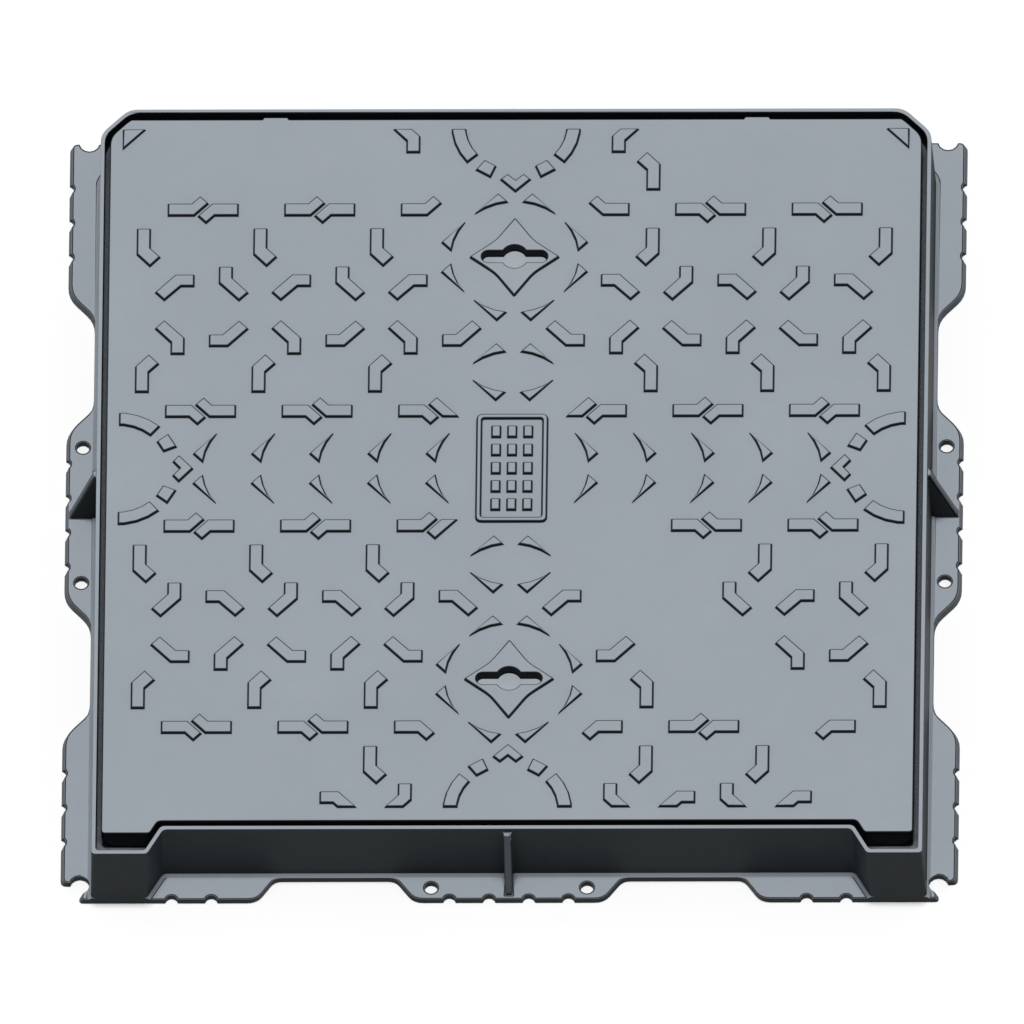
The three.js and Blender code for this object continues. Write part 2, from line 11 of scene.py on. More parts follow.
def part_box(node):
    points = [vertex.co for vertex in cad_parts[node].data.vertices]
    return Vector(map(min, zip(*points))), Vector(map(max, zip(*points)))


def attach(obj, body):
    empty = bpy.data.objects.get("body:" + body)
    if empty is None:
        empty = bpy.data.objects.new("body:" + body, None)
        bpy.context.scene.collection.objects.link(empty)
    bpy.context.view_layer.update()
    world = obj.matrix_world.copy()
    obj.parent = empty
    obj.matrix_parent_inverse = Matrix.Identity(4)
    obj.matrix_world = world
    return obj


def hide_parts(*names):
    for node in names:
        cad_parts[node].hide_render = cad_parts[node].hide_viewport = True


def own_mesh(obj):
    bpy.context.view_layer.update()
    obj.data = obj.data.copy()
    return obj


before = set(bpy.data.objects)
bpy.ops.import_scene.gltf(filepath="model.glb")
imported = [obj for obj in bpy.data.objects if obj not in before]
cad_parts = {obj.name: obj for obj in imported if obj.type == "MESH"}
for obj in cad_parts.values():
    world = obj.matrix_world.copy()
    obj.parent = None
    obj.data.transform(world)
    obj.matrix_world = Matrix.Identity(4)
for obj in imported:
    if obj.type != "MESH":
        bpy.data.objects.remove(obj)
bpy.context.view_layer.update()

MM = 0.001
HAIR = 0.01 * MM               # corners this close are one corner, or at one level
PLATE_TOP = 100 * MM           # tread plate and frame rim
LUG_TOP = 103 * MM
SHUTTER_TOP = PLATE_TOP - 12.3 * MM
KEY_Y = 243.5 * MM             # keyholes, in front of and behind the middle
UP = (0, 0, 1)
TINY = 1e-7
FAR = 1.0                      # further than anything on the object


# ---- Node helpers ----
class Shader:
    """A material whose nodes are added one line at a time."""

    def __init__(self, name, roughness, metallic=0.0):
        self.material = bpy.data.materials.new(name)
        self.material.use_nodes = True
        self.tree = self.material.node_tree
        self.bsdf = self.tree.nodes["Principled BSDF"]
        self.bsdf.inputs["Roughness"].default_value = roughness
        self.bsdf.inputs["Metallic"].default_value = metallic
        self.place = self.add("ShaderNodeTexCoord").outputs["Object"]

    def add(self, kind, **settings):
        node = self.tree.nodes.new(kind)
        for key, value in settings.items():
            setattr(node, key, value)
        return node

    def link(self, source, target):
        self.tree.links.new(source, target)

    def feed(self, socket, value):
        if isinstance(value, bpy.types.NodeSocket):
            self.link(value, socket)
        else:
            socket.default_value = value

    def noise(self, scale, detail=3.0, roughness=0.55, place=None):
        node = self.add("ShaderNodeTexNoise")
        self.link(place or self.place, node.inputs["Vector"])
        node.inputs["Scale"].default_value = scale
        node.inputs["Detail"].default_value = detail
        node.inputs["Roughness"].default_value = roughness
        return node.outputs["Fac"]

    def ramp(self, value, low, high, to_low=0.0, to_high=1.0):
        node = self.add("ShaderNodeMapRange")
        self.link(value, node.inputs["Value"])
        node.inputs["From Min"].default_value = low
        node.inputs["From Max"].default_value = high
        node.inputs["To Min"].default_value = to_low
        node.inputs["To Max"].default_value = to_high
        return node.outputs["Result"]

    def maths(self, operation, a, b):
        node = self.add("ShaderNodeMath", operation=operation)
        self.feed(node.inputs[0], a)
        self.feed(node.inputs[1], b)
        return node.outputs[0]

    def mix(self, factor, a, b, blend="MIX"):
        node = self.add("ShaderNodeMix", data_type="RGBA", blend_type=blend)
        self.feed(node.inputs["Factor"], factor)
        self.feed(node.inputs[6], a)
        self.feed(node.inputs[7], b)
        return node.outputs[2]

    def bump(self, height, distance, strength=1.0, under=None):
        node = self.add("ShaderNodeBump")
        node.inputs["Strength"].default_value = strength
        node.inputs["Distance"].default_value = distance
        self.link(height, node.inputs["Height"])
        if under is not None:
            self.link(under, node.inputs["Normal"])
        return node.outputs["Normal"]

    def axis(self, vector, name):
        node = self.add("ShaderNodeSeparateXYZ")
        self.link(vector, node.inputs[0])
        return node.outputs[name]

    def finish(self, color=None, roughness=None, normal=None):
        for name, value in (("Base Color", color), ("Roughness", roughness), ("Normal", normal)):
            if value is not None:
                self.feed(self.bsdf.inputs[name], value)
        return self.material


def rgb(red, green, blue):
    """An sRGB colour out of 255 as the linear colour a shader takes."""
    def linear(value):
        value /= 255
        return value / 12.92 if value <= 0.04045 else ((value + 0.055) / 1.055) ** 2.4
    return (linear(red), linear(green), linear(blue), 1.0)


# ---- Materials ----
def cast_iron():
    """Grey on what faces up and near-black on the walls: painted light and shade of an overhead lamp.
    Painted shade also darkens the edges and the gaps.
    """
    s = Shader("cast_iron", 0.6)
    s.bsdf.inputs["Specular IOR Level"].default_value = 0.08
    geometry = s.add("ShaderNodeNewGeometry")
    # Painted light: faces turned up take the lit grey, walls the shaded near-black, as an overhead lamp
    # gives.
    painted_light_mask = s.ramp(s.axis(geometry.outputs["True Normal"], "Z"), 0.12, 0.82)
    cloud = s.ramp(s.noise(7.0, 4.0), 0.3, 0.7)
    blotch = s.ramp(s.noise(55.0, 4.0), 0.35, 0.7)
    grain = s.ramp(s.noise(1100.0, 2.0, 0.6), 0.3, 0.7)
    top = s.mix(cloud, rgb(138, 145, 153), rgb(143, 150, 158))
    top = s.mix(s.maths("MULTIPLY", blotch, 0.35), top, rgb(134, 142, 151))
    top = s.mix(s.maths("MULTIPLY", grain, 0.28), top, rgb(163, 169, 176))
    shaded_wall_color = s.mix(grain, rgb(27, 33, 36), rgb(38, 44, 47))
    shaded_wall_color = s.mix(s.maths("MULTIPLY", blotch, 0.5), shaded_wall_color, rgb(29, 35, 38))
    color = s.mix(painted_light_mask, shaded_wall_color, top)
    # Painted shade: dark outlines along the edges, round the lug feet and on the flange's border, from the
    # mesh attribute.
    painted_shade = s.add("ShaderNodeAttribute", attribute_name="painted_shade").outputs["Fac"]
    color = s.mix(s.maths("MULTIPLY", painted_shade, 0.93), color, rgb(14, 17, 20))
    # Painted shade in the gaps and deep hollows, from ambient occlusion.
    openness = s.add("ShaderNodeAmbientOcclusion", samples=8)
    openness.inputs["Distance"].default_value = 40 * MM
    painted_gap_shade = s.ramp(openness.outputs["AO"], 0.36, 0.22, 0.0, 0.95)
    color = s.mix(painted_gap_shade, color, rgb(34, 38, 43))
    rough = s.ramp(grain, 0.0, 1.0, 0.48, 0.68)
    waves = s.bump(s.noise(130.0, 3.0), 0.25 * MM, 0.35)
    pits = s.bump(s.noise(900.0, 2.0), 0.12 * MM, 0.45, waves)
    return s.finish(color, rough, pits)


def elastomer():
    """Matt black rubber."""
    s = Shader("elastomer", 0.8)
    color = s.mix(s.noise(240.0), rgb(24, 25, 27), rgb(38, 39, 41))
    rough = s.ramp(s.noise(90.0), 0.3, 0.7, 0.7, 0.9)
    return s.finish(color, rough, s.bump(s.noise(1500.0), 0.05 * MM, 0.4))


def moulded(name, dark, light):
    """Moulded plastic with a spark-eroded surface and faint scuffs."""
    s = Shader(name, 0.55)
    color = s.mix(s.ramp(s.noise(30.0, 4.0), 0.3, 0.7), dark, light)
    scuffs = s.ramp(s.noise(160.0, 5.0, 0.7), 0.62, 0.72)
    color = s.mix(s.maths("MULTIPLY", scuffs, 0.25), color, rgb(150, 154, 158))
    rough = s.ramp(s.noise(70.0), 0.3, 0.7, 0.45, 0.65)
    return s.finish(color, rough, s.bump(s.noise(2200.0, 2.0), 0.04 * MM, 0.5))


def steel():
    """Drawn stainless wire and cold-headed screws."""
    s = Shader("stainless_steel", 0.3, 1.0)
    color = s.mix(s.noise(300.0), rgb(176, 178, 180), rgb(205, 206, 208))
    rough = s.ramp(s.noise(500.0), 0.3, 0.7, 0.22, 0.42)
    return s.finish(color, rough, s.bump(s.noise(1800.0), 0.02 * MM, 0.4))


# ---- Mesh helpers ----
SHARP = math.radians(32)       # edges that turn more are shaded sharp
EASED = math.radians(38)       # edges that turn more are rounded
FLAT = math.radians(0.6)


def object_from(bm, name, material, body, sharp=SHARP):
    """A visible piece from a mesh, riding on its body, with its flat faces shaded flat."""
    bmesh.ops.recalc_face_normals(bm, faces=bm.faces[:])
    mesh = bpy.data.meshes.new(name)
    bm.to_mesh(mesh)
    bm.free()
    mesh.materials.append(material)
    mesh.shade_smooth()
    mesh.set_sharp_from_angle(angle=sharp)
    piece = bpy.data.objects.new(name, mesh)
    bpy.context.scene.collection.objects.link(piece)
    piece.modifiers.new("even_flats", "WEIGHTED_NORMAL").keep_sharp = True
    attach(piece, body)
    return piece


def welded(node):
    """A CAD node's mesh with its shared corners joined."""
    bm = bmesh.new()
    bm.from_mesh(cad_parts[node].data)
    bmesh.ops.remove_doubles(bm, verts=bm.verts, dist=HAIR)
    return bm


def merge_flat(bm, above):
    """Merges the flat areas above this height. A grid of ribs is left alone: merged, it tangles."""
    verts = [v for v in bm.verts if v.co.z > above]
    edges = [e for e in bm.edges if all(v.co.z > above for v in e.verts)]
    bmesh.ops.dissolve_limit(
        bm, angle_limit=FLAT, verts=verts, edges=edges, use_dissolve_boundaries=False,
    )


def ease(bm, width, wanted, segments=2):
    """Rounds the sharp edges that wanted() picks."""
    edges = [e for e in bm.edges if e.is_manifold and e.calc_face_angle(0) > EASED and wanted(e)]
    bmesh.ops.bevel(
        bm, geom=edges, offset=width, offset_type="OFFSET", segments=segments, profile=0.5,
        affect="EDGES", clamp_overlap=False, miter_outer="ARC",
    )


def loops_of(edges):
    """Closed runs of corners through these edges."""
    ways = {}
    for edge in edges:
        a, b = edge.verts
        ways.setdefault(a, []).append(b)
        ways.setdefault(b, []).append(a)
    loops = []
    unused = set(ways)
    while unused:
        start = min(unused, key=lambda v: tuple(v.co))
        run = [start]
        unused.discard(start)
        while True:
            onward = [v for v in ways[run[-1]] if v in unused]
            if not onward:
                break
            run.append(onward[0])
            unused.discard(onward[0])
        loops.append(run)
    return loops


def following(items):
    """Each item with the next one, and the last with the first."""
    return zip(items, items[1:] + items[:1])


def ring_of(bm, points):
    return [bm.verts.new(point) for point in points]


def skin(bm, low, high):
    """Four-sided faces between two rings of as many corners."""
    return [bm.faces.new((a, b, d, c)) for (a, b), (c, d) in zip(following(low), following(high))]


def edges_round(bm, ring):
    return [bm.edges.get(pair) for pair in following(ring)]


def area(points):
    """The area inside an outline, positive when it runs anticlockwise."""
    return sum(a.x * b.y - b.x * a.y for a, b in following(points)) / 2


LEAST_TURN = 0.01              # radians
SHARPEST_SHARE = 0.05          # keeps the corner of a hairpin finite
TIP_REACH = 2                  # times the distance


def without_straights(points):
    """The outline's points where it turns."""
    kept = []
    for before, here, after in zip(points[-1:] + points, points, points[1:] + points[:1]):
        turn = (here - before).normalized().cross((after - here).normalized())
        if abs(turn) > LEAST_TURN:
            kept.append(here)
    return kept


def grown(points, distance, room=None):
    """The outline pushed outwards, with its sharp tips held back and each corner kept to its room."""
    moved = []
    for i, here in enumerate(points):
        first = (here - points[i - 1]).normalized()
        second = (points[(i + 1) % len(points)] - here).normalized()
        normal = Vector((first.y + second.y, -first.x - second.x))
        share = 1 + first.dot(second)
        step = normal * (distance / max(share, SHARPEST_SHARE))
        longest = TIP_REACH * abs(distance)
        if room is not None:
            longest = min(longest, room[i])
        if step.length > longest:
            step.length = longest
        moved.append(here + step)
    return moved


# A stretch is a corner's own strand of outline when the straight way to it is this share of the way along.
SAME_STRAND = 0.5


def room_around(runs):
    """How far each corner, or the stretch it ends, is from another part of the outlines."""
    stretches = []
    for index, run in enumerate(runs):
        walked = 0.0
        for a, b in following(run):
            length = (b.co - a.co).length
            stretches.append((a, b, length, walked, index))
            walked += length
    around = {}
    for a, b, length, walked, index in stretches:
        around[index] = walked + length
    room = {a: FAR for a, *_ in stretches}
    for corner, _, _, reached, own in stretches:
        x, y = corner.co.xy
        for a, b, length, walked, index in stretches:
            dx, dy = b.co.x - a.co.x, b.co.y - a.co.y
            share = ((x - a.co.x) * dx + (y - a.co.y) * dy) / max(length * length, 1e-12)
            share = min(max(share, 0.0), 1.0)
            apart = math.hypot(a.co.x + share * dx - x, a.co.y + share * dy - y)
            if index == own:
                along = abs(walked + share * length - reached)
                if apart > SAME_STRAND * min(along, around[own] - along) - TINY:
                    continue
            for end in (corner, a, b):
                room[end] = min(room[end], apart)
    return room


# ---- The cover ----
# How a lug rises from the plate: outset, height above the plate and painted shade, a dark outline round its
# foot and up its sides.
LUG_RISE = (
    (0.95, 0.00, 0.0), (0.50, 0.03, 1.0), (0.10, 0.40, 1.0), (-0.05, 1.20, 1.0),
    (-0.15, 2.50, 1.0), (-0.40, 2.92, 1.0), (-1.10, 3.00, 1.0), (-1.40, 3.00, 0.0),
)
# How the plate's outer edge and a keyhole's rim round over: distance in from the edge, drop and painted
# shade, a dark line along the edge.
EDGE_ROUND = ((0.00, 1.00, 1.0), (0.12, 0.55, 1.0), (0.40, 0.18, 1.0), (0.90, 0.00, 1.0), (1.20, 0.00, 0.0))
COVER_EASE = 0.8 * MM
TREAD_DEPTH = 2 * MM           # the cover is rebuilt down to here
KEY_REACH = 34 * MM            # half a keyhole's length and a little more


def lug_islands(bm):
    """Each raised lug as its outlines: the outer one first and then any holes."""
    level = 0.9                # of a face's normal, upwards
    just_under = LUG_TOP - 0.1 * MM
    tops = {f for f in bm.faces if f.normal.z > level and f.calc_center_median().z > just_under}
    rims = [e for e in bm.edges if sum(f in tops for f in e.link_faces) == 1]
    islands = []
    left = set(tops)
    while left:
        stack = [left.pop()]
        members = set(stack)
        while stack:
            for edge in stack.pop().edges:
                for other in edge.link_faces:
                    if other in left:
                        left.discard(other)
                        members.add(other)
                        stack.append(other)
        own = [e for e in rims if any(f in members for f in e.link_faces)]
        outlines = sorted(loops_of(own), key=lambda run: -abs(area([v.co.xy for v in run])))
        islands.append(outlines)
    islands.sort(key=lambda island: tuple(round(c, 6) for c in island[0][0].co))
    return islands


def level_ring(bm, points, height, painted_shade, shade_amount):
    """A ring of corners at one height, all with the same amount of painted shade."""
    ring = ring_of(bm, [(p.x, p.y, height) for p in points])
    for vert in ring:
        vert[painted_shade] = shade_amount
    return ring


def loft(bm, painted_shade, outline, outwards):
    """Corner rings up one outline; gives the foot ring's edges and the top ring's edges."""
    points = without_straights(outline)
    if area(points) < 0:
        points.reverse()
    rings = [
        level_ring(bm, grown(points, outset * MM * outwards), PLATE_TOP + rise * MM, painted_shade, shade_amount)
        for outset, rise, shade_amount in LUG_RISE
    ]
    for low, high in zip(rings, rings[1:]):
        skin(bm, low, high)
    return edges_round(bm, rings[0]), edges_round(bm, rings[-1])


def round_over(bm, painted_shade, run, into):
    """Lowers a rim's corners and curves rings over from it, inwards (-1) or away from a hole (1)."""
    if area([v.co.xy for v in run]) < 0:
        run.reverse()
    points = [v.co.xy.copy() for v in run]
    height = run[0].co.z
    (_, first_drop, first_shade_amount), *inner = EDGE_ROUND
    for vert in run:
        vert.co.z = height - first_drop * MM
        vert[painted_shade] = first_shade_amount
    rings = [run]
    for inset, drop, shade_amount in inner:
        rings.append(level_ring(bm, grown(points, into * inset * MM), height - drop * MM, painted_shade, shade_amount))
    for low, high in zip(rings, rings[1:]):
        skin(bm, low, high)
    return edges_round(bm, rings[-1])


def is_keyhole(run):
    return max(abs(v.co.x) for v in run) < KEY_REACH and min(abs(v.co.y) for v in run) > KEY_Y / 2


def cover_mesh():
    """The cover with its tread laid again: rounded plate edge, keyhole rims and lofted lugs."""
    bm = welded("cover_casting")
    below_tread = PLATE_TOP - TREAD_DEPTH
    ease(bm, COVER_EASE, lambda e: max(v.co.z for v in e.verts) < below_tread)
    painted_shade = bm.verts.layers.float.new("painted_shade")
    plans = []
    for island in lug_islands(bm):
        outlines = [[v.co.xy.copy() for v in run] for run in island]
        plans.append((outlines, any(is_keyhole(run) for run in island[1:])))
    raised = [f for f in bm.faces if min(v.co.z for v in f.verts) > PLATE_TOP - HAIR]
    bmesh.ops.delete(bm, geom=raised, context="FACES")
    loose = [v for v in bm.verts if not v.link_faces]
    bmesh.ops.delete(bm, geom=loose, context="VERTS")
    merge_flat(bm, below_tread)
    key_rims = []
    plate_edges = []
    for run in loops_of([e for e in bm.edges if e.is_boundary]):
        if run[0].co.z > (PLATE_TOP + LUG_TOP) / 2:
            key_rims += round_over(bm, painted_shade, run, 1)
        else:
            plate_edges += round_over(bm, painted_shade, run, -1)
    for outlines, keyed in plans:
        foot, top = loft(bm, painted_shade, outlines[0], 1)
        plate_edges += foot
        if keyed:
            side = 1 if outlines[0][0].y > 0 else -1
            top += [e for e in key_rims if e.verts[0].co.y * side > 0]
        else:
            for hole in outlines[1:]:
                foot, inner_top = loft(bm, painted_shade, hole, -1)
                plate_edges += foot
                top += inner_top
        bmesh.ops.triangle_fill(bm, edges=top, use_beauty=True, normal=UP)
    bmesh.ops.triangle_fill(bm, edges=plate_edges, use_beauty=True, normal=UP)
    bmesh.ops.recalc_face_normals(bm, faces=bm.faces[:])
    return bm


def cover():
    piece = object_from(cover_mesh(), "cover_casting_surface", IRON, "cover")
    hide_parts("cover_casting")


# ---- The frame ----
GUSSET_HALF = 4 * MM           # half its thickness
FRAME_WALL = 415 * MM          # from the middle to the wall's outside
WALL_FOOT = 419 * MM           # and to the end of its foot
FLANGE_TOP = 8 * MM
FOOT_TOP = 12 * MM             # below it some faces are too narrow for much rounding
GUSSET_CORNER_EASE = 1.6 * MM
GUSSET_EDGE_EASE = 2.2 * MM
FOOT_EASE = 0.2 * MM
FRAME_EASE = 0.6 * MM
GUSSET_STEPS = 3
FLANGE_BORDER = (1.1 * MM, 1.4 * MM)   # where the border's painted shade ends, and where it has faded out
BORDER_SHARE = 0.45            # the most of the room between two outlines that one border takes


def on_gusset(edge, furthest=FAR):
    """True for an edge of a gusset, above the flange and no further out than this."""
    slack = 0.1 * MM
    spots = [sorted((abs(v.co.x), abs(v.co.y))) + [v.co.z] for v in edge.verts]
    return all(near < GUSSET_HALF + slack and FRAME_WALL < far < furthest and z > FLANGE_TOP + slack
               for near, far, z in spots)


def is_hollow(edge):
    return edge.calc_face_angle_signed(0) < 0


def lowest(edge):
    return min(v.co.z for v in edge.verts)


def is_inside(point, stretches):
    """True where a line from the point to the right crosses the outlines an odd number of times."""
    inside = False
    for a, b in stretches:
        if (a.y > point.y) != (b.y > point.y):
            if point.x < a.x + (point.y - a.y) * (b.x - a.x) / (b.y - a.y):
                inside = not inside
    return inside


def outlines_of(faces):
    """The closed runs of corners round some faces, with the faces on the left."""
    onward = {}
    members = set(faces)
    for face in faces:
        for loop in face.loops:
            if not any(other in members for other in loop.edge.link_faces if other is not face):
                onward[loop.vert] = loop.link_loop_next.vert
    runs = []
    while onward:
        run = [min(onward, key=lambda v: tuple(v.co))]
        while onward.get(run[-1]) not in (None, run[0]):
            run.append(onward.pop(run[-1]))
        onward.pop(run[-1], None)
        runs.append(run)
    return runs


def fill_between(bm, rings, level):
    """Fills the level area between rings of corners with triangles."""
    verts, sides = [], []
    for ring in rings:
        first, count = len(verts), len(ring)
        sides += [(first + i, first + (i + 1) % count) for i in range(count)]
        verts += ring
    spots = [v.co.xy.copy() for v in verts]
    stretches = [(spots[a], spots[b]) for a, b in sides]
    inside_sides = 1           # the kind of result: triangles within the given sides
    points, _, triangles, origins, _, _ = delaunay_2d_cdt(spots, sides, [], inside_sides, TINY)
    corners = [verts[o[0]] if o else bm.verts.new((*p, level)) for p, o in zip(points, origins)]
    for triangle in triangles:
        if is_inside(sum((points[i] for i in triangle), Vector((0, 0))) / 3, stretches):
            bm.faces.new([corners[i] for i in triangle])


def lay_again(bm, level, border):
    """Re-lays the flat areas at this height, with a border of painted shade inside all their outlines."""
    flat = [f for f in bm.faces if all(abs(v.co.z - level) < 2 * HAIR for v in f.verts)]
    runs = outlines_of(flat)
    bmesh.ops.delete(bm, geom=flat, context="FACES")
    painted_shade = bm.loops.layers.float.new("painted_shade")
    room = room_around(runs)
    inner = []
    for run in runs:
        points = [v.co.xy.copy() for v in run]
        rings = [run]
        for inset in border:
            most = [BORDER_SHARE * room[v] * inset / border[-1] for v in run]
            rings.append(ring_of(bm, [(p.x, p.y, level) for p in grown(points, -inset, most)]))
        for shade_amount, low, high in zip((1.0, 0.0), rings, rings[1:]):
            for face in skin(bm, low, high):
                for loop in face.loops:
                    loop[painted_shade] = shade_amount if loop.vert in high else 1.0
        inner.append(rings[-1])
    fill_between(bm, inner, level)
    # Where two corners were so close that they were taken as one, a slit is left.
    slits = [e for e in bm.edges if e.is_boundary]
    bmesh.ops.holes_fill(bm, edges=slits, sides=8)


def frame_surface():
    """The frame with its cast edges rounded and a border of painted shade on its flange."""
    bm = welded("frame_casting")
    ease(bm, GUSSET_CORNER_EASE, lambda e: on_gusset(e, WALL_FOOT) and is_hollow(e), GUSSET_STEPS)
    ease(bm, GUSSET_EDGE_EASE, lambda e: on_gusset(e) and not is_hollow(e), GUSSET_STEPS)
    ease(bm, FOOT_EASE, lambda e: lowest(e) < FOOT_TOP)
    ease(bm, FRAME_EASE, lambda e: lowest(e) > FOOT_TOP)
    lay_again(bm, FLANGE_TOP, FLANGE_BORDER)
    piece = object_from(bm, "frame_casting_surface", IRON, "frame")
    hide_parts("frame_casting")


# ---- Turned and swept shapes ----
def round_points(x, y, z, radius, sides):
    angles = (2 * math.pi * i / sides for i in range(sides))
    return [(x + radius * math.cos(a), y + radius * math.sin(a), z) for a in angles]


def turned(bm, profile, x, y, sides=64):
    """A profile of (radius, height) turned about the upright through x, y, closed where it meets it."""
    rings = []
    for radius, z in profile:
        points = round_points(x, y, z, radius, sides) if radius > TINY else [(x, y, z)]
        rings.append(ring_of(bm, points))
    for low, high in zip(rings, rings[1:]):
        if len(low) == len(high):
            skin(bm, low, high)
            continue
        tip, around = (low[0], high) if len(low) == 1 else (high[0], low)
        for i in range(sides):
            bm.faces.new((tip, around[i], around[(i + 1) % sides]))
    return rings


def centre(node):
    """Where a CAD node's middle is in plan, and the corners of its box."""
    low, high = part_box(node)
    return (low.x + high.x) / 2, (low.y + high.y) / 2, low, high


# ---- Key pot: cup, flange and gussets ----
POT_WALL = 3 * MM
POT_R = 38 * MM                # inside
POT_FLANGE_T = 4 * MM
POT_SIDES = 72
POT_GUSSETS = 8
POT_GUSSET_T = 2.4 * MM
POT_GUSSET_FOOT = 8 * MM       # above the pot's floor
POT_GUSSET_TOE = 3 * MM        # in from the flange's edge, and its height there


def key_pot(side):
    """A cup with rounded edges, and gussets under its flange."""
    node = f"key_pot_{side}"
    x, y, low, high = centre(node)
    flange = (high.x - low.x) / 2
    outer = POT_R + POT_WALL
    floor, top = low.z, high.z
    under = top - POT_FLANGE_T
    soft = 0.8 * MM
    bm = bmesh.new()
    turned(bm, (
        (0, floor), (outer - 3 * soft, floor), (outer - soft, floor + 0.5 * soft), (outer, floor + 2 * soft),
        (outer, under - soft), (outer + soft, under), (flange - soft, under), (flange, under + soft),
        (flange, top - soft), (flange - soft, top), (POT_R + soft, top), (POT_R, top - soft),
        (POT_R, floor + POT_WALL + 2 * soft), (POT_R - 2 * soft, floor + POT_WALL), (0, floor + POT_WALL),
    ), x, y, POT_SIDES)
    foot = floor + POT_GUSSET_FOOT
    toe = flange - POT_GUSSET_TOE
    sunk = MM                  # how far a gusset goes into the wall and the flange
    corners = (
        (outer - sunk, foot), (outer + 0.5 * soft, foot), (toe, under - POT_GUSSET_TOE),
        (toe, under + sunk), (outer - sunk, under + sunk),
    )
    for number in range(1, POT_GUSSETS + 1):
        angle = 2 * math.pi * number / POT_GUSSETS
        along = Vector((math.cos(angle), math.sin(angle), 0))
        across = Vector((-along.y, along.x, 0)) * POT_GUSSET_T / 2
        faces = [
            ring_of(bm, [Vector((x, y, z)) + along * r + across * way for r, z in corners])
            for way in (-1, 1)
        ]
        skin(bm, *faces)
        for face in faces:
            bm.faces.new(face)
    piece = object_from(bm, f"{node}_moulding", POT_PLASTIC, "cover")
    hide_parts(node)


def pot_seal(side):
    """A flat ring with grooves round both of its faces."""
    node = f"key_pot_seal_{side}"
    x, y, low, high = centre(node)
    outer = (high.x - low.x) / 2
    inner = POT_R + MM
    groove = 0.35 * MM
    steps = 6
    across = [(outer + (inner - outer) * i / steps, groove if i % 2 else 0) for i in range(steps + 1)]
    profile = [(radius, high.z - depth) for radius, depth in across]
    profile += [(radius, low.z + depth) for radius, depth in reversed(across)]
    bm = bmesh.new()
    rings = turned(bm, profile, x, y, POT_SIDES)
    skin(bm, rings[-1], rings[0])
    piece = object_from(bm, f"{node}_gasket", RUBBER, "cover")
    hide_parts(node)


# ---- Shutter: disc, spring pilot and the boss that fills the keyhole ----
SLOT_HALF = 33 * MM
SLOT_R = 6.7 * MM
KEYHOLE_R = 13.3 * MM
BOSS_GAP = 0.6 * MM
# How the boss's top edge rounds over: distance in from its side, and down from its top.
BOSS_ROUND = ((0.00, 0.80), (0.25, 0.25), (0.80, 0.00))
SHUTTER_T = 4 * MM
PILOT_R = 17 * MM


def keyhole_outline(clearance, steps=10):
    """A slot with a round middle, seen from above."""
    end = SLOT_R - clearance
    middle = KEYHOLE_R - clearance
    straight = SLOT_HALF - SLOT_R
    start = math.asin(end / middle)
    points = []
    for way in (1, -1):
        for i in range(steps + 1):
            a = -math.pi / 2 + math.pi * i / steps
            points.append(Vector((way * (straight + end * math.cos(a)), way * end * math.sin(a))))
        for i in range(steps + 1):
            a = start + (math.pi - 2 * start) * i / steps
            points.append(Vector((way * middle * math.cos(a), way * middle * math.sin(a))))
    return points


def key_shutter(side):
    """A disc with a spring pilot below it and the keyhole's boss on it."""
    node = f"key_shutter_{side}"
    x, y, low, high = centre(node)
    disc = (high.x - low.x) / 2
    top = SHUTTER_TOP
    foot = top - SHUTTER_T
    soft = 0.5 * MM
    recess = low.z + 3 * soft
    bm = bmesh.new()
    turned(bm, (
        (0, recess), (PILOT_R - 8 * soft, recess), (PILOT_R - 6 * soft, low.z), (PILOT_R - soft, low.z),
        (PILOT_R, low.z + soft), (PILOT_R, foot), (disc - soft, foot), (disc, foot + soft),
        (disc, top - soft), (disc - soft, top), (0, top),
    ), x, y)
    painted_shade = bm.verts.layers.float.new("painted_shade")
    outline = keyhole_outline(BOSS_GAP)
    sunk_foot = (0.0, top - MM)
    heights = [sunk_foot] + [(inset * MM, high.z - drop * MM) for inset, drop in BOSS_ROUND]
    rings = [
        ring_of(bm, [(x + p.x, y + p.y, z) for p in grown(outline, -inset)]) for inset, z in heights
    ]
    for lower, upper in zip(rings, rings[1:]):
        skin(bm, lower, upper)
    # A painted dark line of shade round the boss's top edge; the shutter's moulded material does not read
    # it.
    for vert in rings[1]:
        vert[painted_shade] = 1.0
    bm.faces.new(rings[0])
    bm.faces.new(rings[-1])
    piece = object_from(bm, f"{node}_moulding", SHUTTER_PLASTIC, f"shutter_{side}")
    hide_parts(node)


# ---- Springs and screws ----
SPRING_TURNS = 4.5
WIRE_STEPS = 40                # per turn
WIRE_SIDES = 10
WIRE_R = 1.5 * MM
SPRING_CROWDING = 0.15         # how much closer the coils lie near the ends


